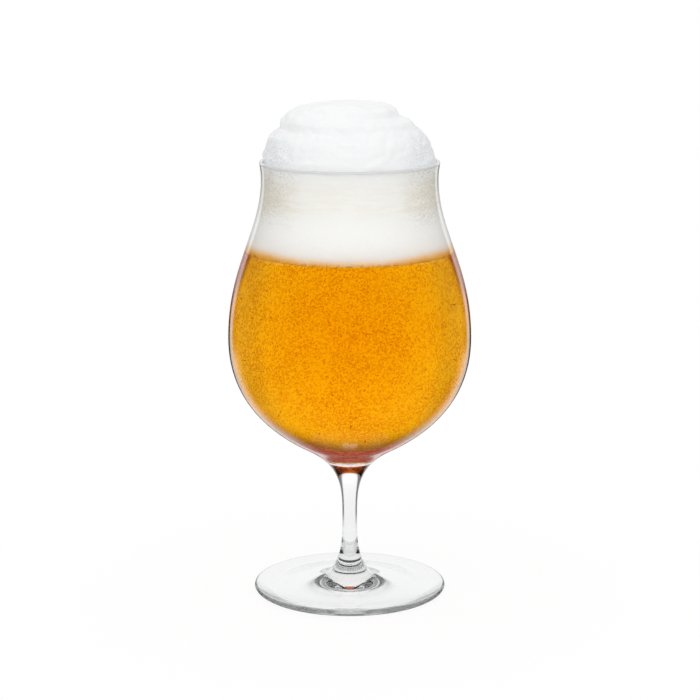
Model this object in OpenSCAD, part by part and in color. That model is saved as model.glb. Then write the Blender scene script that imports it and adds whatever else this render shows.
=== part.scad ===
// Tulip beer glass on a stem, poured with beer under a high head of foam.
// The glass is three pieces of clear glass that are joined hot: bowl, stem and foot.
// The origin is on the table under the middle of the foot, with +Z up.

/* [Bowl] */
// Height of the glass from the table to the top of the rim
glass_h = 164; // [150:1:185]
// Outside diameter at the rim
rim_d = 66.7; // [58:0.1:76]
// Outside diameter at the neck, the narrow place under the rim
neck_d = 65.5; // [56:0.1:74]
// Height of the flared lip, from the neck to the rim
lip_h = 6.8; // [4:0.2:12]
// Outside diameter at the belly, the widest place
belly_d = 91; // [80:0.5:104]
// Height of the belly above the table
belly_h = 97.5; // [86:0.5:112]
// Outside diameter at the heel, where the round bowl turns into the flare of the stem
heel_d = 34.5; // [26:0.5:44]
// Height of the heel above the table
heel_h = 55.4; // [46:0.2:66]
// Slope of the heel, measured from upright
heel_angle = 62; // [50:1:74]
// How far the inside of the bowl dips below the heel
floor_drop = 4; // [0.5:0.1:5]
// Thickness of the bowl's wall
wall_t = 1.3; // [0.9:0.1:2.2]

/* [Stem] */
// Diameter at the waist, the thinnest place of the stem
waist_d = 5.6; // [4.6:0.1:9]
// Height of the waist above the table
waist_h = 24.4; // [19:0.2:31]

/* [Foot] */
// Diameter of the foot
foot_d = 72.8; // [62:0.2:86]
// Thickness of the foot at its rounded edge
foot_edge_t = 1.8; // [1.4:0.1:3.2]
// Fall of the foot's upper face near its edge, in degrees
foot_fall = 5; // [3:0.5:8]
// Diameter of the shallow hollow under the foot, inside the ring that it stands on
hollow_d = 56; // [44:1:62]
// Depth of that hollow in the middle
hollow_h = 1.2; // [0.4:0.1:2]

/* [Pour] */
// Depth of the beer's surface below the rim
head_depth = 33.4; // [20:0.2:44]
// Height of the foam's crown above the rim
crown_h = 22; // [10:0.5:30]
// Clearance between the glass and what is poured into it
film_gap = 0.1; // [0.05:0.05:0.3]

/* [Hidden] */

// Points along one curve of an outline, round the rim's bead, and round the glass
curve_steps = 24;
bead_steps = 10;
turn_steps = 96;
// Rings up the foam's collar, band and pillow, and points round each ring
collar_rings = 10;
band_rings = 8;
pillow_rings = 10;
foam_turn_steps = 64;

// Outline handles, as shares of the height or radius that each curve spans
neck_drop_share = 0.325;
shoulder_rise_share = 0.455;
hip_drop_share = 0.32;
hip_reach_share = 0.94;
flare_reach_share = 1;
flare_rise_share = 0.45;
root_drop_share = 1.17;
root_reach_share = 0.43;
floor_flat_share = 0.5;
floor_reach_share = 0.3;
lip_share = 1 / 3;
// Where the stem ends on the flare above its waist, and on the root below it
bowl_seat_share = 0.74;
foot_seat_share = 0.35;
// Outline of the foam's crown, as shares of its radius and its rise: a band above the rim, then a pillow
band_shares = [[1, 0], [0.985, 0.2], [0.955, 0.46], [0.86, 0.53]];
pillow_shares = [[0.86, 0.53], [0.70, 0.66], [0.72, 1], [0, 1]];
// Height over which the lumps of the crown fade out towards the rim
lump_fade_share = 0.33;
// Lumps of the crown: direction in turns from +X, distance out, height, spread and push, as shares
lump_shares = [
    [0.50, 0.90, 0.42, 0.32, 0.015],
    [0.49, 0.72, 0.74, 0.24, 0.060],
    [0.97, 0.50, 0.96, 0.26, 0.020],
    [0.06, 0.84, 0.60, 0.22, 0.012],
    [0.70, 0.88, 0.46, 0.26, 0.045],
    [0.86, 0.90, 0.34, 0.24, 0.040],
    [0.78, 0.62, 0.82, 0.20, -0.040],
    [0.24, 0.88, 0.48, 0.30, 0.050],
    [0.34, 0.60, 0.86, 0.22, 0.045],
    [0.15, 0.92, 0.36, 0.24, 0.030],
];

rim_r = rim_d / 2;
neck_r = neck_d / 2;
belly_r = belly_d / 2;
heel_r = heel_d / 2;
waist_r = waist_d / 2;
foot_r = foot_d / 2;
bead_r = wall_t / 2;
bead_z = glass_h - bead_r;
neck_h = glass_h - lip_h;
beer_h = glass_h - head_depth;
floor_h = heel_h - floor_drop;
edge_r = foot_edge_t / 2;
top_edge_r = foot_r - edge_r;
hollow_r = hollow_d / 2;

// A cubic curve through p[0] and p[3], its direction, and points along a stretch of it
function curve(p, t) =
    p[0] * pow(1 - t, 3) + p[1] * 3 * t * pow(1 - t, 2) + p[2] * 3 * t * t * (1 - t) + p[3] * pow(t, 3);
function heading(p, t) =
    (p[1] - p[0]) * pow(1 - t, 2) + (p[2] - p[1]) * 2 * t * (1 - t) + (p[3] - p[2]) * t * t;
function unit(v) = v / norm(v);
function inward(v) = [-v[1], v[0]];
function stretch(p, from, to, steps = curve_steps) =
    [for (i = [0:steps]) curve(p, from + (to - from) * i / steps)];
function inset(p, depth) =
    [for (i = [0:curve_steps])
        let (t = i / curve_steps)
        curve(p, t) + depth * inward(unit(heading(p, t)))];
function all_but_first(list) = [for (i = [1:len(list) - 1]) list[i]];
function all_but_last(list) = [for (i = [0:len(list) - 2]) list[i]];
function reversed(list) = [for (i = [len(list) - 1:-1:0]) list[i]];

// The outline of the glass as radius and height, in five curves from the foot to the rim
waist = [waist_r, waist_h];
heel = [heel_r, heel_h];
belly = [belly_r, belly_h];
neck = [neck_r, neck_h];
heel_way = [sin(heel_angle), cos(heel_angle)];
root_fall = waist_h - foot_edge_t;
root_reach = root_reach_share * top_edge_r;
root_curve = [
    waist,
    [waist_r, waist_h - root_drop_share * root_fall],
    [root_reach, foot_edge_t + tan(foot_fall) * (top_edge_r - root_reach)],
    [top_edge_r, foot_edge_t],
];
flare_curve = [
    waist,
    [waist_r, waist_h + flare_rise_share * (heel_h - waist_h)],
    heel - flare_reach_share * heel_r * heel_way,
    heel,
];
hip_curve = [
    heel,
    heel + hip_reach_share * (belly_r - heel_r) * heel_way,
    [belly_r, belly_h - hip_drop_share * (belly_h - heel_h)],
    belly,
];
shoulder_curve = [
    belly,
    [belly_r, belly_h + shoulder_rise_share * (neck_h - belly_h)],
    [neck_r, neck_h - neck_drop_share * (neck_h - belly_h)],
    neck,
];
lip_curve = [
    neck,
    [neck_r, neck_h + lip_share * (bead_z - neck_h)],
    [neck_r + lip_share * (rim_r - neck_r), bead_z - lip_share * (bead_z - neck_h)],
    [rim_r, bead_z],
];

// Where the three pieces of glass meet, as flat round seats
bowl_seat = curve(flare_curve, bowl_seat_share);
foot_seat = curve(root_curve, foot_seat_share);

// The inside of the bowl from the middle of its floor to the rim, at a depth from the outside
function floor_curve(depth) =
    let (low = [0, floor_h + depth - wall_t])
    let (high = heel + depth * inward(heel_way))
    [
        low,
        [floor_flat_share * high[0], low[1]],
        high - floor_reach_share * high[0] * heel_way,
        high,
    ];
function inside_points(depth) = concat(
    stretch(floor_curve(depth), 0, 1),
    all_but_first(inset(hip_curve, depth)),
    all_but_first(inset(shoulder_curve, depth)),
    all_but_last(all_but_first(inset(lip_curve, depth))),
    [[rim_r - depth, bead_z]]
);

// The foam's own outline: a collar against the wall, then a crown over the rim
foam_wall = [for (p = inside_points(wall_t + film_gap)) [p[1], p[0]]];
crown_r = rim_r - wall_t - film_gap;
crown_rise = glass_h + crown_h - bead_z;
function on_crown(share) = [crown_r * share[0], bead_z + crown_rise * share[1]];
collar_outline =
    [for (i = [0:collar_rings - 1])
        let (z = beer_h + (bead_z - beer_h) * i / collar_rings)
        [lookup(z, foam_wall), z]];
band_outline = [for (share = stretch(band_shares, 0, 1, band_rings)) on_crown(share)];
pillow_outline = [for (share = stretch(pillow_shares, 0, 1, pillow_rings)) on_crown(share)];
foam_outline = concat(collar_outline, all_but_last(band_outline), all_but_last(pillow_outline));

// How far the lumps push a point of the crown outward
function lump(p, l) =
    let (middle = [l[1] * cos(360 * l[0]), l[1] * sin(360 * l[0]), l[2]])
    l[4] * exp(-pow(norm(p - middle) / l[3], 2));
function sum(list) = list * [for (item = list) 1];
function push(p) =
    let (shares = [p[0] / crown_r, p[1] / crown_r, (p[2] - bead_z) / crown_rise])
    let (fade = min(1, shares[2] / lump_fade_share))
    fade * crown_rise * sum([for (l = lump_shares) lump(shares, l)]);
function lumped(p) =
    p[2] <= bead_z ? p : p + push(p) * unit([p[0], p[1], p[2] - bead_z]);
foam_points = concat(
    [[0, 0, beer_h]],
    [for (o = foam_outline, j = [0:foam_turn_steps - 1])
        let (a = 360 * j / foam_turn_steps)
        lumped([o[0] * cos(a), o[0] * sin(a), o[1]])],
    [lumped([0, 0, bead_z + crown_rise])]
);
foam_last = len(foam_points) - 1;
foam_rings = len(foam_outline);
function on_ring(i, j) = 1 + i * foam_turn_steps + j % foam_turn_steps;
foam_faces = concat(
    [for (j = [0:foam_turn_steps - 1]) [0, on_ring(0, j), on_ring(0, j + 1)]],
    [for (i = [0:foam_rings - 2], j = [0:foam_turn_steps - 1], half = [0, 1])
        half == 0
            ? [on_ring(i, j), on_ring(i + 1, j), on_ring(i + 1, j + 1)]
            : [on_ring(i, j), on_ring(i + 1, j + 1), on_ring(i, j + 1)]],
    [for (j = [0:foam_turn_steps - 1])
        [foam_last, on_ring(foam_rings - 1, j + 1), on_ring(foam_rings - 1, j)]]
);

module turned(points) {
    rotate_extrude($fn = turn_steps)
        polygon(points);
}

// A pressed disc with a round edge, on a flat ring round a shallow hollow
module foot() {
    edge = [for (i = [0:bead_steps])
        let (a = 90 - 180 * i / bead_steps)
        [top_edge_r + edge_r * cos(a), edge_r + edge_r * sin(a)]];
    hollow = [for (i = [0:curve_steps])
        let (share = 1 - i / curve_steps)
        [hollow_r * share, hollow_h * (1 - share * share)]];
    color([0.86, 0.90, 0.92, 0.4])
        turned(concat(
            [[0, foot_seat[1]]],
            stretch(root_curve, foot_seat_share, 1),
            all_but_first(edge),
            hollow
        ));
}

// A drawn stem with a thin waist, flared to its two seats
module stem() {
    color([0.88, 0.92, 0.94, 0.4])
        turned(concat(
            [[0, foot_seat[1]]],
            reversed(stretch(root_curve, 0, foot_seat_share)),
            all_but_first(stretch(flare_curve, 0, bowl_seat_share)),
            [[0, bowl_seat[1]]]
        ));
}

// A blown tulip with one thickness of wall, a solid heel and a round rim
module bowl() {
    bead = [for (i = [0:bead_steps])
        let (a = 180 * i / bead_steps)
        [rim_r - bead_r + bead_r * cos(a), bead_z + bead_r * sin(a)]];
    color([0.86, 0.91, 0.93, 0.3])
        turned(concat(
            [[0, bowl_seat[1]]],
            stretch(flare_curve, bowl_seat_share, 1),
            all_but_first(stretch(hip_curve, 0, 1)),
            all_but_first(stretch(shoulder_curve, 0, 1)),
            all_but_first(stretch(lip_curve, 0, 1)),
            all_but_first(bead),
            all_but_first(reversed(inside_points(wall_t)))
        ));
}

// The beer fills the bowl from its floor to the underside of the foam
module beer() {
    color([0.95, 0.60, 0.04, 0.9])
        rotate_extrude($fn = turn_steps)
            intersection() {
                polygon(concat(inside_points(wall_t + film_gap), [[0, bead_z]]));
                square([belly_r, beer_h]);
            }
}

// One head of foam, from the beer's surface up through the neck to the lumpy crown
module foam_head() {
    color([0.97, 0.96, 0.92])
        polyhedron(foam_points, foam_faces);
}

foot();
stem();
bowl();
beer();
foam_head();
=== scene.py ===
# %% [markdown]
# # A tulip glass of beer, dressed on its CAD frame
# The frame holds five solids: a foot, a stem and a bowl of clear glass, the beer in the bowl, and the
# head of foam on it. They have the right size and place, so nothing is measured again here. What they
# lack is the look: glass that bends light, beer that colours it, bubbles, and foam with a skin. Each is
# made in turn.

# %% Load the frame
import math

import bpy
import numpy as np
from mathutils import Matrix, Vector, noise


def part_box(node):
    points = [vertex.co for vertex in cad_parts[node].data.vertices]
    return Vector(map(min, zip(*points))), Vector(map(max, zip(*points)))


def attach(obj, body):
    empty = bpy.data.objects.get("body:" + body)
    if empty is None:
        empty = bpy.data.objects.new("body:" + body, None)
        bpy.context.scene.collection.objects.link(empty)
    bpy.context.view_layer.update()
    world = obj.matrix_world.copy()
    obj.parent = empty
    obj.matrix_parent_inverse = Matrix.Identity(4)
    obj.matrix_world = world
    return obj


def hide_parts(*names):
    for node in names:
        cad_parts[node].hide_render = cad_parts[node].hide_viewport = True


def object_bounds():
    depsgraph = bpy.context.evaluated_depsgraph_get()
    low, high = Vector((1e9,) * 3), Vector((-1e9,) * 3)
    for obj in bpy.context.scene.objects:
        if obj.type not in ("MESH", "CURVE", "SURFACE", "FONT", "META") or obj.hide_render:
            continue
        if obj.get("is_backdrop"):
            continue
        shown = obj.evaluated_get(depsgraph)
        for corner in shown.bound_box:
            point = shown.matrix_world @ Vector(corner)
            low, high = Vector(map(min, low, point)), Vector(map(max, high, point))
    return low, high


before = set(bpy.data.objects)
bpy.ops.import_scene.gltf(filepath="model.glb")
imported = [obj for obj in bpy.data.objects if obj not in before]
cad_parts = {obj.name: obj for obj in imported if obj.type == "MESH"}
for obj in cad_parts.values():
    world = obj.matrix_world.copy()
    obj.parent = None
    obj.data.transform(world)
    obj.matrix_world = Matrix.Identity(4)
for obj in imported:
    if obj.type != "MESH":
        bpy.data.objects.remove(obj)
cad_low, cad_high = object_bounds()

scene = bpy.context.scene
MM = 0.001
print("CAD box in mm:", [round(x / MM, 1) for x in (*cad_low, *cad_high)])

# %% [markdown]
# ## The camera
# The photograph was taken from about three quarters of a metre, a little above the rim, with a long lens
# that is held level from side to side. The glass is round, so its ellipses give the pitch and the
# distance. Blender wants a lens in millimetres on a 36 mm sensor, and the focal length in pixels is
# turned into one.

# %% Place the camera
PHOTO_SIDE_PX = 700
FOCAL_PX = 2096.3
SENSOR_MM = 36
CAMERA_PITCH = math.radians(12.2435)
CAMERA_PLACE = Vector((0.11, -769.5, 259.6)) * MM

lens = bpy.data.cameras.new("camera")
lens.sensor_width = SENSOR_MM
lens.lens = FOCAL_PX * SENSOR_MM / PHOTO_SIDE_PX
lens.clip_start = 10 * MM
camera = bpy.data.objects.new("camera", lens)
camera.location = CAMERA_PLACE
camera.rotation_euler = (math.pi / 2 - CAMERA_PITCH, 0, 0)
scene.collection.objects.link(camera)
scene.camera = camera
scene.view_settings.view_transform = "Standard"
print("lens in mm:", round(lens.lens, 1))

# %% [markdown]
# ## Light that crosses many faces
# A ray that looks through this glass meets a wall, the beer, perhaps a few bubbles, and the far wall,
# and in the foot it can be mirrored to and fro all the way across. Blender stops a ray after a dozen
# such faces and shows black there, so the limits are raised. The blur that hides noise in mirrors is
# off, since it would take light from the foam behind the glass.

# %% Let light cross the glass
MOST_FACES = 40
scene.cycles.max_bounces = MOST_FACES
scene.cycles.transmission_bounces = MOST_FACES
scene.cycles.transparent_max_bounces = MOST_FACES
scene.cycles.glossy_bounces = MOST_FACES
scene.cycles.diffuse_bounces = 4
scene.cycles.blur_glossy = 0
print("faces a ray may cross:", scene.cycles.transmission_bounces)

# %% [markdown]
# ## Shader sums as plain Python
# A material is a web of nodes, and wiring a sum node by node hides what it says. This small class holds
# one socket. Adding or multiplying two of them adds the Math node, so `1 - mask` in the script is what
# is drawn. Every other kind of node comes from its one method, `node`.


# %% A socket that can be reckoned with
class Wire:
    """An output socket in a shader's tree. Operators add Math nodes, and node() adds any other."""

    def __init__(self, tree, socket=None):
        self.tree = tree
        self.socket = socket

    def node(self, kind, sockets=(), output=0, **settings):
        """Adds a node with its settings, then the values or links of its sockets, and gives an output."""
        made = self.tree.nodes.new(kind)
        for name, value in settings.items():
            setattr(made, name, value)
        for name, value in dict(sockets).items():
            if isinstance(value, Wire):
                self.tree.links.new(value.socket, made.inputs[name])
            else:
                made.inputs[name].default_value = value
        return Wire(self.tree, made.outputs[output] if len(made.outputs) else None)

    def maths(self, operation, *values):
        """Adds one Math node."""
        return self.node("ShaderNodeMath", dict(enumerate(values)), operation=operation)

    def __add__(self, other):
        return self.maths("ADD", self, other)

    def __radd__(self, other):
        return self.maths("ADD", other, self)

    def __sub__(self, other):
        return self.maths("SUBTRACT", self, other)

    def __rsub__(self, other):
        return self.maths("SUBTRACT", other, self)

    def __mul__(self, other):
        return self.maths("MULTIPLY", self, other)

    def __rmul__(self, other):
        return self.maths("MULTIPLY", other, self)

    def __abs__(self):
        return self.maths("ABSOLUTE", self)

    def between(self, low, high):
        """0 below low, 1 above high, and a soft step between them."""
        return self.node(
            "ShaderNodeMapRange",
            {"Value": self, "From Min": low, "From Max": high},
            interpolation_type="SMOOTHSTEP",
        )

    def mixed(self, low_colour, high_colour):
        """low_colour where this is 0, high_colour where it is 1."""
        low, high = (c if isinstance(c, Wire) else (*c, 1) for c in (low_colour, high_colour))
        return self.node("ShaderNodeMix", {0: self, 6: low, 7: high}, output=2, data_type="RGBA")

    def noise(self, place, size, detail):
        """Noise from 0 to 1 with lumps of the given size."""
        return self.node("ShaderNodeTexNoise", {"Vector": place, "Scale": 1 / size, "Detail": detail})


def new_material(name):
    """A material with an empty tree, and a bare Wire to draw in it."""
    material = bpy.data.materials.new(name)
    material.use_nodes = True
    material.node_tree.nodes.clear()
    return material, Wire(material.node_tree)


print("a Wire adds, subtracts, multiplies and mixes")

# %% [markdown]
# ## Outlines from the frame
# Foot, stem, bowl and beer are turned shapes. Their CAD meshes hold rings of points, so one ring stands
# for one point of the outline. Walking from ring to ring along the mesh's edges gives the outline back
# in order. It is then turned again with more steps, because glass shows every flat face as a kink in
# what lies behind it.

# %% Read an outline
SAME_RING = 0.01 * MM


def outline_of(node):
    """A turned CAD node's half outline: (radius, height) points from its lower end to its upper end."""
    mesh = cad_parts[node].data
    rings, beside = {}, {}

    def ring(corner):
        radius = math.hypot(corner.x, corner.y)
        home = (round(radius / SAME_RING), round(corner.z / SAME_RING))
        for across in (0, -1, 1):
            for up in (0, -1, 1):
                if (home[0] + across, home[1] + up) in rings:
                    return home[0] + across, home[1] + up
        rings[home] = Vector((radius, corner.z))
        return home

    ring_of = [ring(vertex.co) for vertex in mesh.vertices]
    for edge in mesh.edges:
        a, b = (ring_of[i] for i in edge.vertices)
        if a != b:
            beside.setdefault(a, set()).add(b)
            beside.setdefault(b, set()).add(a)
    ends = [home for home in beside if len(beside[home]) == 1]
    walk = [min(ends, key=lambda home: rings[home].y)]
    while True:
        ahead = beside[walk[-1]] - set(walk[-2:])
        if not ahead:
            break
        walk.append(ahead.pop())
    return [rings[home] for home in walk]


outlines = {node: outline_of(node) for node in ("foot", "stem", "bowl", "beer")}
for node, points in outlines.items():
    print(node, len(points), "points, from", [round(x / MM, 2) for x in (*points[0], *points[-1])])

# %% [markdown]
# ## Turning
# A lathe makes a round body from an outline, and so does this function. Where the outline meets the
# axis, a ring would be the same point many times over, so it is made as one. Corners sharper than
# thirty degrees stay sharp, and all else is shaded smooth.

# %% Turn an outline
GLASS_TURNS = 224
SHARP = math.radians(30)


def turned(name, outline, turns=GLASS_TURNS):
    """A mesh turned about Z from an outline that runs up the outside. A point on the axis is one vertex."""
    corners, rings, faces = [], [], []
    angles = [2 * math.pi * i / turns for i in range(turns)]
    for radius, height in outline:
        start = len(corners)
        if radius < SAME_RING:
            corners.append((0, 0, height))
            rings.append([start] * turns)
        else:
            corners += [(radius * math.cos(a), radius * math.sin(a), height) for a in angles]
            rings.append(list(range(start, start + turns)))
    for low, high in zip(rings, rings[1:]):
        for i in range(turns):
            j = (i + 1) % turns
            faces.append(list(dict.fromkeys((low[i], low[j], high[j], high[i]))))
    mesh = bpy.data.meshes.new(name)
    mesh.from_pydata(corners, [], faces)
    mesh.shade_smooth()
    mesh.set_sharp_from_angle(angle=SHARP)
    piece = bpy.data.objects.new(name, mesh)
    scene.collection.objects.link(piece)
    return piece


def dress(piece, node):
    """The piece stands for a CAD node, which is hidden, and rides on its body."""
    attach(piece, "root")
    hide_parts(node)


print("outlines are turned in", GLASS_TURNS, "steps")

# %% [markdown]
# ## Clear glass
# The glass is colourless, polished by fire, and not quite even, because it was blown and drawn. A
# Principled shader with full transmission bends the light. A faint, wide ripple in the normal keeps
# reflections from looking machined, and the finest haze on the polish breaks up the highlight.
#
# Against white, clear glass is drawn by its dark edges. Two smooth faces show too little of them, so the
# tint is painted dark grey where the glass is seen nearly edge on: painted shade for the dark outline. On
# the bowl this painted line belongs to the belly: it sets in above the hip and fades over the shoulder.

# %% Make a glass material
GLASS_IOR = 1.5
RIPPLE_SIZE, RIPPLE = 9 * MM, 0.1 * MM
HAZE_SIZE, HAZE_MOST, HAZE_DIMS = 1.5 * MM, 0.02, 0.99
# Painted shade: the tint of glass seen nearly edge on, standing in for its dark outline.
EDGE_PAINTED_SHADE = (0.05, 0.05, 0.055)
THIN = (0.985, 0.99, 0.988)
# Heights where the bowl's painted edge shade sets in, and where most of it fades.
HIP = (66 * MM, 84 * MM)
SHOULDER = (98 * MM, 118 * MM)
FADED = 0.85
SLIVER = 0.01 * MM
DENSER = 1.02


def open_top(height, top):
    """1 on a piece and 0 on the disc that closes it at the top."""
    return 1 - height.between(top - 2 * SLIVER, top - SLIVER)


def absorber(draw, left, length):
    """A volume that leaves the given share of each colour after light has gone a length."""
    lost = [-math.log(share) / length for share in left]
    density = max(lost) * DENSER
    tint = [1 - rate / density for rate in lost]
    return draw.node("ShaderNodeVolumeAbsorption", {"Color": (*tint, 1), "Density": density})


def glass_shader(
    name, clear=THIN, mirror=(1, 1, 1), through=1.0,
    edge=(0.72, 0.84), zone=None, fades=None, left=None, top=None,
):
    """Clear glass: its tint, its mirror's tint, how clear it is, and where its edge is painted dark.

    The edge gets painted shade over a span of how far from face-on it is seen. It sets in with height over
    the zone, and most of it fades over another span of heights. Glass that absorbs light has the shares that
    are left of it after a length, and is open at its top.
    """
    material, draw = new_material(name)
    place = draw.node("ShaderNodeTexCoord", output="Object")
    height = draw.node("ShaderNodeSeparateXYZ", {"Vector": place}, output="Z")
    ripple = draw.noise(place, RIPPLE_SIZE, 1.0)
    rippled = draw.node("ShaderNodeBump", {"Height": ripple, "Strength": 0.02, "Distance": RIPPLE})
    haze = draw.noise(place, HAZE_SIZE, 3.0)
    dimmed = [HAZE_DIMS * part for part in clear]
    # Painted shade: the tint goes to dark grey where the glass is seen nearly edge on.
    dark = draw.node("ShaderNodeLayerWeight", {"Blend": 0.5}, output="Facing").between(*edge)
    if zone:
        dark = dark * height.between(*zone)
    if fades:
        dark = dark * (1 - FADED * height.between(*fades))
    surface = draw.node(
        "ShaderNodeBsdfPrincipled",
        {
            "Base Color": dark.mixed(haze.mixed(dimmed, clear), EDGE_PAINTED_SHADE),
            "Roughness": haze.between(0.55, 0.8) * HAZE_MOST,
            "Normal": rippled,
            "IOR": GLASS_IOR,
            "Transmission Weight": through,
            "Specular Tint": (*mirror, 1),
            "Alpha": open_top(height, top) if top else 1.0,
        },
    )
    volume = {"Volume": absorber(draw, *left)} if left else {}
    draw.node("ShaderNodeOutputMaterial", {"Surface": surface, **volume})
    return material


thin_glass = glass_shader("thin_glass", zone=HIP, fades=SHOULDER)
print("the bowl's glass:", thin_glass.name)

# %% [markdown]
# ## Kinds of glass
# The stem was drawn hot and is a thin rod. Its dark lines are painted shade, which reaches farther in
# from its edges and stops where it widens into the foot. The rim was melted round into a bead, and its
# glass is painted pale and made less clear: a painted highlight for the light line of the bead. Where beer
# wets the wall, glass passes into beer and not into air, and almost nothing is reflected: that wall keeps
# its bend and loses its mirror, through a black specular tint.
#
# Foot, stem and bowl are fused hot, so no face shows where they meet. Each piece is closed by a disc
# there, and a disc with an alpha of zero lets light pass as if the glass went on.

# %% Make the other glasses
DRAWN = (0.90, 0.905, 0.905)
# Painted shade: wide dark lines on the stem's edges, above where it widens into the foot.
drawn_glass = glass_shader("drawn_glass", clear=DRAWN, edge=(0.34, 0.46), zone=(22 * MM, 30 * MM))
wetted_glass = glass_shader("wetted_glass", mirror=(0, 0, 0), zone=HIP, fades=SHOULDER)
# Painted highlight: the rim's bead is pale grey and lets only a quarter of the light through.
RIM_PAINTED_HIGHLIGHT = (0.8, 0.8, 0.8)
rim_glass = glass_shader("rim_glass", clear=RIM_PAINTED_HIGHLIGHT, through=0.25, edge=(0.97, 1.0))

fused_seam, seam = new_material("fused_seam")
nothing = seam.node("ShaderNodeBsdfPrincipled", {"Base Color": (1, 1, 1, 1), "Alpha": 0.0})
seam.node("ShaderNodeOutputMaterial", {"Surface": nothing})
print("glasses:", [m.name for m in (drawn_glass, wetted_glass, rim_glass, fused_seam)])

# %% [markdown]
# ## Glass of the foot
# The foot is a thick pressed disc. Light that enters at its edge is mirrored to and fro inside and has
# to cross all of it, so the edge looks grey while the middle looks clear. That is an absorption in the
# volume. The disc at its top must belong to the same material, or light would leave the foot without
# leaving its volume, so the material itself is open there.

# %% Make the glass of the foot
PRESSED = (0.868, 0.872, 0.872)
LEFT_BY_FOOT = (0.44, 0.455, 0.45)
foot_low, foot_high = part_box("foot")
foot_width = foot_high.x - foot_low.x
# The foot gets the painted edge shade too, but only where it is seen almost exactly edge on.
thick_glass = glass_shader(
    "thick_glass", clear=PRESSED, edge=(0.9, 1.0), left=(LEFT_BY_FOOT, foot_width), top=foot_high.z
)
print("light left after crossing the foot:", LEFT_BY_FOOT)

# %% [markdown]
# ## Foot, stem and bowl
# Each outline is closed to the axis with a disc where the next piece is fused on. The wall of the bowl
# below the beer's surface takes the wetted glass, and the round of the rim takes the rim's. Faces are
# told apart by where their middles lie.

# %% Turn the glass
BEER_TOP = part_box("beer")[1].z
RIM_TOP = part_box("bowl")[1].z
RIM_BEAD = 0.9 * MM
SEAMS = {"foot": ("top",), "stem": ("bottom", "top"), "bowl": ("bottom",)}
BODY = {"foot": thick_glass, "stem": drawn_glass, "bowl": thin_glass}
FLAT = 0.99


def glass_kind(node, face, low, high):
    """0 the body's own glass, 1 a clear seam, 2 wetted by beer, 3 the rim."""
    level, middle = face.normal.z, face.center
    if node != "foot" and level < -FLAT and abs(middle.z - low) < SAME_RING:
        return 1
    if node == "stem" and level > FLAT and abs(middle.z - high) < SAME_RING:
        return 1
    if node == "bowl" and middle.z < BEER_TOP and face.normal.xy.dot(middle.xy) < 0:
        return 2
    if node == "bowl" and middle.z > RIM_TOP - RIM_BEAD:
        return 3
    return 0


def glass_piece(node):
    """A fused glass piece: turned, closed by discs at its seams, each face in its kind of glass."""
    outline = list(outlines[node])
    low, high = outline[0].y, outline[-1].y
    if "bottom" in SEAMS[node]:
        outline.insert(0, Vector((0, low)))
    if "top" in SEAMS[node]:
        outline.append(Vector((0, high)))
    piece = turned(node + "_glass", outline)
    mesh = piece.data
    for material in (BODY[node], fused_seam, wetted_glass, rim_glass):
        mesh.materials.append(material)
    for face in mesh.polygons:
        face.material_index = glass_kind(node, face, low, high)
    dress(piece, node)
    counts = [sum(face.material_index == i for face in mesh.polygons) for i in range(4)]
    print(piece.name, "faces: body, seam, wetted, rim", counts)


for node in SEAMS:
    glass_piece(node)

# %% [markdown]
# ## Beer
# Beer has no colour of its own on its surface. Its amber comes from the way light takes through it: blue
# is gone after a centimetre, green halves on the way across. So the colour is an absorption inside the
# volume, and the thin bottom turns yellow by itself.
#
# Bubbles too small to model hang near the wall as dark specks. They flock in clumps, and some clouds of
# them are thicker than others, so noises of three sizes are mixed. The specks are drawn only where light
# enters the beer, because those on the far wall would be stretched into streaks.
#
# The beer's skin lies a fifth of a millimetre inside the glass wall. If the two only touched, a film of
# air would shine between them. Light then crosses beer and glass in the wrong order, but it leaves at
# the right angle, because the two faces are parallel.

# %% Make the beer's material
BEER_IOR = 1.34
BELLY = 88 * MM
LEFT_BY_BELLY = (0.965, 0.36, 0.001)
SPECK_SIZE = 0.65 * MM
CLUMP_SIZE = 1.2 * MM
CLUMP_SHARE = 0.5
CLOUD_SIZE = 14 * MM
CLOUD_SHARE = 0.3
SPECK = (0.62, 0.29, 0.11)
WHITE = (1, 1, 1)

amber_beer, draw = new_material("amber_beer")
place = draw.node("ShaderNodeTexCoord", output="Object")
height = draw.node("ShaderNodeSeparateXYZ", {"Vector": place}, output="Z")
leaving = draw.node("ShaderNodeNewGeometry", output="Backfacing")
cloud = CLOUD_SHARE * (draw.noise(place, CLOUD_SIZE, 1.0) - 0.5)
clump = 1 - draw.noise(place, CLUMP_SIZE, 1.0).between(0.38, 0.5)
clear = (draw.noise(place, SPECK_SIZE, 2.0) + cloud).between(0.34, 0.54) * (1 - CLUMP_SHARE * clump)
surface = draw.node(
    "ShaderNodeBsdfPrincipled",
    {
        "Base Color": clear.mixed(leaving.mixed(SPECK, WHITE), WHITE),
        "Alpha": open_top(height, BEER_TOP),
        "Roughness": 0.0,
        "IOR": BEER_IOR,
        "Transmission Weight": 1.0,
        "Specular Tint": (0, 0, 0, 1),
    },
)
inside = absorber(draw, LEFT_BY_BELLY, BELLY)
draw.node("ShaderNodeOutputMaterial", {"Surface": surface, "Volume": inside})
print("light left after crossing the belly:", LEFT_BY_BELLY)

# %% [markdown]
# ## Bubbles
# Fresh beer is full of fine bubbles, most of them on or near the wall. A bubble is a hole in the beer,
# so each is a small ball whose faces look inwards, in the same mesh: light then leaves the beer there
# and enters it again. They are too small to need many faces.

# %% Blow the bubbles
BUBBLES = 5000
BUBBLE_RADII = (0.07 * MM, 0.16 * MM)
MOSTLY_SMALL = 2.2
MOSTLY_NEAR = 3
WALL_ROOM = 0.12 * MM
ROOM_IN_RADII = 1.5
BUBBLE_DEPTH = 2.5 * MM
CLEAR_BOTTOM = 6 * MM
CLEAR_TOP = 1 * MM
rng = np.random.default_rng(7)


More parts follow.
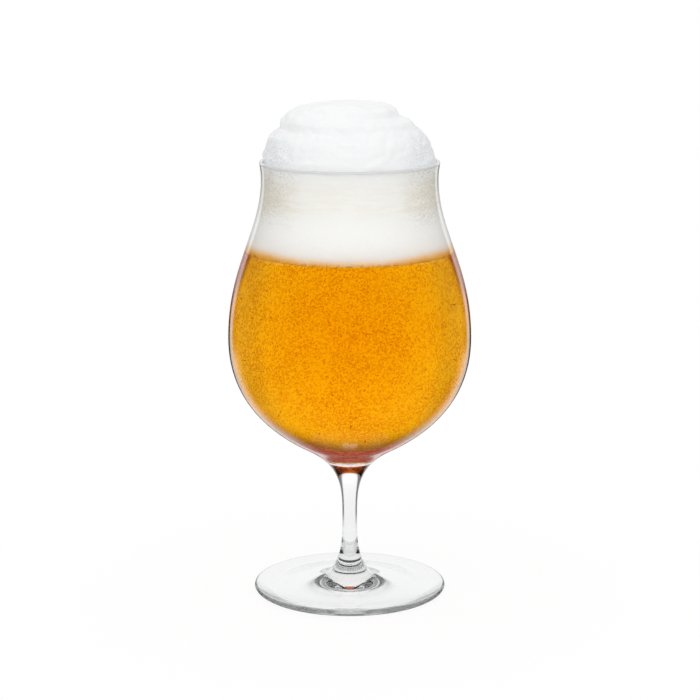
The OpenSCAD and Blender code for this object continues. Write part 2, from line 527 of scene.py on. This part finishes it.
def ball():
    """A round ball of 32 triangles: the corners and the triangles of a split octahedron, facing inwards."""
    poles = [Vector(p) for p in ((1, 0, 0), (0, 1, 0), (-1, 0, 0), (0, -1, 0), (0, 0, 1), (0, 0, -1))]
    corners, triangles = [], []

    def corner(point):
        point = point.normalized()
        for i, known in enumerate(corners):
            if (known - point).length < 1e-6:
                return i
        corners.append(point)
        return len(corners) - 1

    for i in range(4):
        a, b = poles[i], poles[(i + 1) % 4]
        for pole in poles[4:]:
            first, second = (a, b) if pole.z > 0 else (b, a)
            ab, bc, ca = first + second, second + pole, pole + first
            for face in ((first, ab, ca), (ab, second, bc), (ca, bc, pole), (ab, bc, ca)):
                triangles.append([corner(p) for p in reversed(face)])
    return np.array(corners), np.array(triangles)


def bubble_places(count):
    """Seeded places and radii of bubbles just inside the beer's wall."""
    smallest, largest = BUBBLE_RADII
    low, high = outlines["beer"][0].y + CLEAR_BOTTOM, BEER_TOP - CLEAR_TOP
    radii = smallest + (largest - smallest) * rng.random(count) ** MOSTLY_SMALL
    heights = low + (high - low) * rng.random(count)
    angles = 2 * math.pi * rng.random(count)
    depth = WALL_ROOM + BUBBLE_DEPTH * rng.random(count) ** MOSTLY_NEAR
    wall = np.interp(heights, [p.y for p in outlines["beer"]], [p.x for p in outlines["beer"]])
    reach = wall - ROOM_IN_RADII * radii - depth
    return np.stack([reach * np.cos(angles), reach * np.sin(angles), heights], axis=1), radii


bubble_centres, bubble_radii = bubble_places(BUBBLES)
print("bubbles:", BUBBLES, "with radii in mm from", [round(r / MM, 2) for r in BUBBLE_RADII])

# %% [markdown]
# ## The body of beer
# The beer's outline is moved out into the wall by its lap and closed by a flat top, which the material
# leaves open to the foam. The bubbles go into the same mesh, so that light can tell beer from the holes
# in it.

# %% Fill the bowl with beer
LAP = 0.22 * MM


def lapped(outline):
    """The beer's outline, moved out into the wall and closed at the top."""
    points = [outline[0] - Vector((0, LAP))]
    for before, point, after in zip(outline, outline[1:], outline[2:]):
        along = (after - before).normalized()
        points.append(point + LAP * Vector((along.y, -along.x)))
    return points + [outline[-1] + Vector((LAP, 0)), Vector((0, BEER_TOP))]


def corners_of(mesh):
    """The places of a mesh's vertices as rows of an array."""
    places = np.empty(3 * len(mesh.vertices))
    mesh.vertices.foreach_get("co", places)
    return places.reshape(-1, 3)


piece = turned("beer_body", lapped(outlines["beer"]))
body = piece.data
body_corners = corners_of(body)
corners, triangles = ball()
holes = (bubble_centres[:, None, :] + bubble_radii[:, None, None] * corners[None]).reshape(-1, 3)
start = len(body_corners) + len(corners) * np.arange(BUBBLES)
hole_faces = (start[:, None, None] + triangles[None]).reshape(-1, 3)
mesh = bpy.data.meshes.new("beer_body")
faces = [list(face.vertices) for face in body.polygons] + hole_faces.tolist()
mesh.from_pydata(np.concatenate([body_corners, holes]).tolist(), [], faces)
mesh.shade_smooth()
mesh.set_sharp_from_angle(angle=2 * SHARP)
mesh.materials.append(amber_beer)
piece.data = mesh
bpy.data.meshes.remove(body)
dress(piece, "beer")
print(piece.name, len(mesh.polygons), "faces")

# %% [markdown]
# ## Foam
# The head is a stiff, fine foam. It fills the neck, stands over the rim like risen dough, and keeps the
# ledges it set with, which differ from left to right. The CAD solid has its main form with coarse faces.
# A voxel remesh gives even, small faces. Those over the rim move along lines from the middle of the
# rim's plane onto the two flanks, which blend around the head.

# %% Give the head its flanks
FOAM_VOXEL = 0.6 * MM
FLANK_WOBBLE = 0.25
FLANK_WOBBLE_SIZE = 16 * MM
LEFT_FLANK = [
    (31.9, 0), (32.2, 2), (31.6, 4), (30.6, 7.6), (29.8, 9.4), (27.4, 11.2), (25.6, 12.6),
    (25.3, 15), (23.6, 17), (18.4, 20.2), (10, 21.2), (0, 21.4),
]
RIGHT_FLANK = [
    (31.8, 0), (31.5, 2), (30.5, 4), (29, 7.6), (27.6, 9.4), (26.1, 11.3), (23.9, 13.1),
    (22.6, 15), (18.6, 16.8), (17, 19.2), (13, 20.7), (0, 21.4),
]


def remeshed(node, voxel):
    """A copy of a CAD node's mesh with even faces of the voxel's size."""
    copy = bpy.data.objects.new("coarse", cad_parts[node].data.copy())
    scene.collection.objects.link(copy)
    even = copy.modifiers.new("even", "REMESH")
    even.mode = "VOXEL"
    even.voxel_size = voxel
    even.use_smooth_shade = True
    bpy.context.view_layer.update()
    mesh = bpy.data.meshes.new_from_object(copy.evaluated_get(bpy.context.evaluated_depsgraph_get()))
    bpy.data.objects.remove(copy)
    return mesh


def noise_at(places, size):
    """Smooth noise from -1 to 1 at each place, with lumps of the given size."""
    return np.array([noise.noise(Vector(place) / size) for place in places])


def reach_of(flank, climb):
    """How far a flank is from the middle of the rim's plane, at each angle of climb."""
    radii, heights = np.array(flank).T * MM
    return np.interp(climb, np.arctan2(heights, radii), np.hypot(radii, heights))


def risen(places):
    """Places over the rim, moved onto the risen head: its left flank on the left, its right on the right."""
    middle = np.array([0, 0, RIM_TOP])
    way = places - middle
    across = np.hypot(way[:, 0], way[:, 1])
    climb = np.arctan2(way[:, 2], across)
    wobble = FLANK_WOBBLE * noise_at(places, FLANK_WOBBLE_SIZE)
    to_right = np.clip((1 + way[:, 0] / np.maximum(across, MM)) / 2 + wobble, 0, 1)
    reach = (1 - to_right) * reach_of(LEFT_FLANK, climb) + to_right * reach_of(RIGHT_FLANK, climb)
    return middle + way * (reach / np.linalg.norm(way, axis=1))[:, None]


RISES_OVER = 1.5 * MM
foam_mesh = remeshed("foam_head", FOAM_VOXEL)
places = corners_of(foam_mesh)
over_rim = np.clip((places[:, 2] - RIM_TOP) / RISES_OVER, 0, 1)
places += over_rim[:, None] * (risen(places) - places)
foam_mesh.vertices.foreach_set("co", places.ravel())
foam_mesh.update()
print("foam:", len(foam_mesh.vertices), "vertices,", int((over_rim > 0).sum()), "of them over the rim")

# %% [markdown]
# ## The foam's skin
# Over the rim the skin has wide soft lumps, folds, and a grain of bubbles that is coarser low on the
# flanks. In the neck the foam is pressed flat on the glass. It laps a little into the wall there, as the
# beer does, so no film of air shines between them. At the bottom it stands in the beer.

# %% Raise the foam's skin
LUMP_SIZE, LUMP = 8 * MM, 0.5 * MM
FOLD_SIZE, FOLD = 6.5 * MM, 0.9 * MM
FOLD_SQUASH = (1, 1, 1.6)
GRAIN_SIZE, FINE_GRAIN, FLANK_GRAIN = 1.5 * MM, 0.07 * MM, 0.13 * MM
PRESSED_SHARE = 0.5
SUNK = 0.4 * MM
FLANK_SPAN = 6 * MM
FOAM_DIP = 0.06 * MM
AT_BEER = 0.5 * MM
NEAR_WALL = 0.6 * MM
FOAM_LAP = 0.06 * MM


def inner_wall(heights):
    """The radius of the bowl's inside at each height."""
    outline = outlines["bowl"]
    top = max(range(len(outline)), key=lambda i: outline[i].y)
    inside = sorted((p.y, p.x) for p in outline[top:])
    return np.interp(heights, *zip(*inside))


normals = np.empty(3 * len(places))
foam_mesh.vertices.foreach_get("normal", normals)
lump = noise_at(places, LUMP_SIZE) * LUMP
fold = abs(noise_at(places * FOLD_SQUASH, FOLD_SIZE)) * FOLD
flank = np.clip((cad_high.z - FLANK_SPAN - places[:, 2]) / FLANK_SPAN, 0, 1)
grain = noise_at(places, GRAIN_SIZE) * (FINE_GRAIN + FLANK_GRAIN * flank)
rise = over_rim * (lump + fold - SUNK + grain) - (1 - over_rim) * abs(grain) * PRESSED_SHARE
at_beer = places[:, 2] < BEER_TOP + AT_BEER
rise[at_beer] = 0
places[at_beer, 2] = BEER_TOP - FOAM_DIP
places += normals.reshape(-1, 3) * rise[:, None]

radius = np.hypot(places[:, 0], places[:, 1])
wall = inner_wall(places[:, 2])
on_wall = (places[:, 2] < RIM_TOP - RIM_BEAD) & (radius > wall - NEAR_WALL)
places[on_wall, :2] *= ((wall + FOAM_LAP) / np.maximum(radius, MM))[on_wall, None]
places[:, 2] = np.minimum(places[:, 2], cad_high.z)
foam_mesh.vertices.foreach_set("co", places.ravel())
foam_mesh.update()

foam_mesh.name = "foam_crown"
foam = bpy.data.objects.new("foam_crown", foam_mesh)
scene.collection.objects.link(foam)
dress(foam, "foam_head")
print(foam.name, len(foam_mesh.polygons), "faces,", int(on_wall.sum()), "vertices pressed on the wall")

# %% [markdown]
# ## Where the foam has which colour
# Foam is white because light scatters at every bubble. Through the neck it looks different from height
# to height. Just over the beer it is soaked and amber. Farther up, where beer drains out of it, it has a
# creamy band of flat streaks, and coarser bubbles toward the sides. Toward the sides the cream is laid on
# thicker and the bubbles are painted grey: painted shade where the foam turns away from the light. Under
# the rim it is clean again, and painted whiter: painted light against the shade of the rim. Over the rim
# only its flanks are specked, in grey that is painted shade on the sides of the head.

# %% Mark the foam's zones
STREAK_SIZE, STREAK_SQUASH = 7 * MM, (1, 1, 6)
FLECK_SIZE = 0.5 * MM
WAVE_SIZE, WAVE = 5 * MM, 1.6 * MM
SIDE_CLIMB = 0.9 * MM
SOAKED = 4.3 * MM

foam_white, draw = new_material("white_foam")
place = draw.node("ShaderNodeTexCoord", output="Object")
across, height = (draw.node("ShaderNodeSeparateXYZ", {"Vector": place}, output=axis) for axis in "XZ")
facing = draw.node("ShaderNodeTexCoord", output="Normal")
level = draw.node("ShaderNodeSeparateXYZ", {"Vector": facing}, output="Z")
flattened = draw.node("ShaderNodeMapping", {"Vector": place, "Scale": STREAK_SQUASH})
streak = draw.noise(flattened, STREAK_SIZE, 6.0)
grain = draw.noise(place, FLECK_SIZE, 2.0)
wave = draw.noise(place, WAVE_SIZE, 4.0)

in_neck = 1 - height.between(RIM_TOP - 1.5 * MM, RIM_TOP)
# Just under the rim the foam is clean, and it is painted whiter there as painted light against the rim's
# shade.
near_rim = height.between(RIM_TOP - 8 * MM, RIM_TOP - 1.5 * MM)
upper_neck = height.between(RIM_TOP - 20 * MM, RIM_TOP - 14 * MM)
# The sides as seen from the front. There the cream and the grey specks below also paint shade.
beside = abs(across).between(15 * MM, 28 * MM)
fleck = 0.4 + 0.6 * grain.between(0.38, 0.62)
streaky = 0.3 + 0.7 * streak.between(0.35, 0.65)
# The cream is thicker toward the sides, which paints shade there on top of the cream.
cream = upper_neck * (1 - near_rim) * streaky * fleck * (0.45 + 0.55 * beside)

soaked_height = height + (wave - 0.5) * WAVE - beside * SIDE_CLIMB
dry = soaked_height.between(BEER_TOP - 0.5 * MM, BEER_TOP + SOAKED)
not_under = level.between(-0.8, -0.5)
soaked = (1 - dry) * (1 - dry) * not_under

# Grey specks toward the neck's sides: coarser bubbles, darkened as painted shade.
off_beer = height.between(BEER_TOP + 8 * MM, BEER_TOP + 18 * MM)
side_speck_shade = beside * (1 - grain.between(0.36, 0.48)) * off_beer
# Grey specks on the sides of the head, low over the rim: painted shade on its flanks.
low_crown = 1 - height.between(RIM_TOP + 6 * MM, RIM_TOP + 16 * MM)
flank_shade_specks = beside * (1 - grain.between(0.36, 0.56)) * low_crown
print("foam is soaked for", SOAKED / MM, "mm over the beer")

# %% [markdown]
# ## The foam's finish
# Each zone gets its colour. Light sinks a little way into foam, so a part of the shader is subsurface
# light. The last grain is a cell pattern of bubbles as bump, on top of the grain in the mesh.

# %% Make the foam's material
FOAM_WHITE = (0.925, 0.94, 0.945)
# The grey of the specks on the head's flanks, painted shade.
FLANK_PAINTED_SHADE = (0.68, 0.72, 0.75)
NECK_WHITE = (0.94, 0.938, 0.925)
# Clean white under the rim, raised as painted light against the rim's shade.
UNDER_RIM_LIT_WHITE = (0.985, 0.985, 0.975)
FOAM_CREAM = (0.84, 0.79, 0.69)
# The grey of the specks at the neck's sides, painted shade.
SIDE_SPECK_SHADE = (0.66, 0.62, 0.55)
FOAM_SOAKED = (0.95, 0.52, 0.08)
CELL_SIZE = 0.7 * MM

crown = flank_shade_specks.mixed(FOAM_WHITE, FLANK_PAINTED_SHADE)
clean_and_lit_neck = near_rim.mixed(NECK_WHITE, UNDER_RIM_LIT_WHITE)
neck = soaked.mixed(side_speck_shade.mixed(cream.mixed(clean_and_lit_neck, FOAM_CREAM), SIDE_SPECK_SHADE), FOAM_SOAKED)
cells = draw.node("ShaderNodeTexVoronoi", {"Vector": place, "Scale": 1 / CELL_SIZE})
bumped = draw.node("ShaderNodeBump", {"Height": cells + grain, "Strength": 0.5, "Distance": 0.15 * MM})
surface = draw.node(
    "ShaderNodeBsdfPrincipled",
    {
        "Base Color": in_neck.mixed(crown, neck),
        "Roughness": 0.75 + 0.2 * grain,
        "Normal": bumped,
        "Subsurface Weight": 0.3,
        "Subsurface Radius": (1.0, 0.9, 0.8),
        "Subsurface Scale": 1.2 * MM,
        "Specular IOR Level": 0.2,
    },
)
draw.node("ShaderNodeOutputMaterial", {"Surface": surface})
foam.data.materials.clear()
foam.data.materials.append(foam_white)
print("foam finish on", foam.name)

# %% [markdown]
# ## The studio
# Clear glass shows only what is around it. It was photographed in front of a white sheet that is
# brighter than anything else, with a dark room at the camera's side. The world stands for both. It has
# to answer three kinds of rays: those that come through the glass, those that the glass mirrors, and
# those that gather light for the foam. Rays from the camera see plain white. Each answer is a sum of
# soft steps over the way a ray goes.

# %% Sort the rays
world = bpy.data.worlds.new("studio")
scene.world = world
world.use_nodes = True
world.node_tree.nodes.clear()
draw = Wire(world.node_tree)
way = draw.node("ShaderNodeTexCoord", output="Generated")
across, ahead, up = (draw.node("ShaderNodeSeparateXYZ", {"Vector": way}, output=axis) for axis in "XYZ")
sideways = abs(across)


def ray(fact):
    """One fact of the ray that asks, from the Light Path node."""
    return draw.node("ShaderNodeLightPath", output=fact)


seen, through, diffuse = ray("Is Camera Ray"), ray("Is Transmission Ray"), ray("Is Diffuse Ray")
scattered = ray("Diffuse Depth").between(0, 1)
mirrored = ray("Glossy Depth").between(0, 1)
in_beer = ray("Transmission Depth").between(2.5, 3.5)
print("rays of the camera, of glass and of foam are told apart")

# %% [markdown]
# ## What shows through the glass
# The sheet is a little brighter high up, and dark over the camera. Rays that were mirrored inside clear
# glass and leave toward the camera's side find the dark room there, which draws the dark arcs in the
# foot. Those that leave steeply downward meet the glass's own shadow.
#
# A ray through the beer has crossed at least three faces, and for it the bowl is a strong lens that
# reaches far around. It finds the ends of the sheet: dark in the corners low at the sides, dark at the
# camera's side, dark high up, and a little less bright toward the flanks.

# %% Hang the sheet
SHEET = 1.13
back = 1 - ahead.between(-0.3, 0.15)
sheet = SHEET * (0.92 + 0.14 * up.between(-0.45, 0.25)) * (1 - 0.9 * back * up.between(0.3, 0.45))
room = mirrored * (1 - in_beer) * (1 - ahead.between(-0.05, 0.45)) * up.between(-0.5, -0.3)
steep = mirrored * (1 - up.between(-0.78, -0.68)) * ahead.between(-0.1, 0.1)
sheet = sheet * (1 - 0.95 * room) * (1 - 0.9 * steep)

corner = sideways.between(0.6, 0.74) * (1 - up.between(-0.44, -0.32)) * (1 - ahead.between(0.46, 0.62))
high = up.between(0.34, 0.64)
flank = sideways.between(0.36, 0.5) * (1 - sideways.between(0.58, 0.7))
left_in_beer = (1 - 0.6 * corner) * (1 - 0.45 * back) * (1 - 0.7 * high) * (1 - 0.12 * flank)
for_glass = sheet * (1 - in_beer * (1 - left_in_beer))
print("the sheet's white:", SHEET)

# %% [markdown]
# ## What the glass mirrors
# Near its outline the bowl mirrors the sheet behind it as a white veil. At the very edge, where the
# mirror is strongest, it meets the edge of the sheet, and this gives the thin dark outline. The outline
# is softer on the neck, where the wall leans in, and gone under the belly. The veil ends where the glass
# mirrors its own foot. Level reflections, such as those on top of the foot, see white again.

# %% Hang the veil
VEIL = 1.12
thin = ahead.between(0.78, 0.86)
wide = ahead.between(0.55, 0.85)
veil = thin + (wide - thin) * (1 - up.between(-0.3, -0.18))
softer = 0.5 * up.between(-0.17, -0.08) * (1 - up.between(-0.02, 0.02))
outline = ahead.between(0.89, 0.925) * (1 - softer) * up.between(-0.55, -0.42)
own_foot = (1 - sideways.between(0.1, 0.3)) * (1 - up.between(-0.62, -0.52))
veil = veil * (1 - outline) * (1 - 0.7 * own_foot) * up.between(-0.8, -0.68)
over_foot = up.between(0.02, 0.06) * ahead.between(0.9, 0.94)
for_mirror = VEIL * veil + over_foot
print("the veil's white:", VEIL)

# %% [markdown]
# ## What lights the foam
# The foam is lit from all around, most from behind and in front, and more from above. Foam that is
# pressed on the glass gets less of it back out, because much light is mirrored inside the wall, so its
# share is raised.

# %% Light the foam
LOST_IN_GLASS = 1.46
around = 0.58 - 0.1 * ahead + 0.45 * ahead * ahead
for_crown = around + 0.42 * up
for_neck = LOST_IN_GLASS * (around + 0.15 * up)

looked = seen + (1 - scattered) * (through * for_glass + (1 - seen) * (1 - through) * for_mirror)
lit = scattered * (diffuse * for_crown + (1 - diffuse) * for_neck)
background = draw.node("ShaderNodeBackground", {"Color": (1, 1, 1, 1), "Strength": looked + lit})
draw.node("ShaderNodeOutputWorld", {"Surface": background})
print("world nodes:", len(world.node_tree.nodes))

# %% [markdown]
# ## The floor
# The glass stands on a white disc that keeps part of its shadow and fades into the white around it. The
# disc is hidden from rays of the glass, which see the world's white below as well.

# %% Lay the floor
FLOOR_RADIUS = 340 * MM
FLOOR_TOP = -0.05 * MM
FLOOR_TURNS = 96
SHADOW_REACH = (60 * MM, 150 * MM)
SHADOW_SHARE = 0.11

white_floor, draw = new_material("white_floor")
place = draw.node("ShaderNodeTexCoord", output="Object")
away = draw.node("ShaderNodeVectorMath", {0: place}, output="Value", operation="LENGTH")
looked_at = draw.node("ShaderNodeLightPath", output="Is Camera Ray")
plain = looked_at * (1 - SHADOW_SHARE * (1 - away.between(*SHADOW_REACH)))
lit = draw.node("ShaderNodeBsdfPrincipled", {"Base Color": (0.97, 0.97, 0.97, 1), "Roughness": 0.1})
white = draw.node("ShaderNodeEmission", {"Color": (1, 1, 1, 1), "Strength": 1.0})
surface = draw.node("ShaderNodeMixShader", {0: plain, 1: lit, 2: white})
draw.node("ShaderNodeOutputMaterial", {"Surface": surface})

floor = turned("floor", [Vector((FLOOR_RADIUS, FLOOR_TOP)), Vector((0, FLOOR_TOP))], turns=FLOOR_TURNS)
floor.data.materials.append(white_floor)
floor.visible_glossy = False
floor.visible_transmission = False
floor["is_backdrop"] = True
print("floor radius in mm:", round(FLOOR_RADIUS / MM))

# %% [markdown]
# ## The lamp
# One large, weak soft box hangs over the glass, a little to the left. It models the lumps of the foam.
# Glass does not show it.

# %% Hang the lamp
lamp = bpy.data.lights.new("soft_box", "AREA")
lamp.shape = "DISK"
lamp.size = 500 * MM
lamp.energy = 0.2
soft_box = bpy.data.objects.new("soft_box", lamp)
soft_box.location = Vector((-150, -50, 700)) * MM
aim = Vector((0, 0, 150)) * MM
soft_box.rotation_euler = (aim - soft_box.location).to_track_quat("-Z", "Y").to_euler()
soft_box.visible_glossy = False
soft_box.visible_transmission = False
scene.collection.objects.link(soft_box)
print("lamp:", soft_box.name, lamp.energy, "W")

# %% [markdown]
# ## Size
# The dressed glass is meant to stay in the CAD model's box, so both boxes are printed.

# %% Measure and finish
bpy.context.view_layer.update()
low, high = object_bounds()
print("visual box in mm:", [round(x / MM, 1) for x in (*low, *high)])
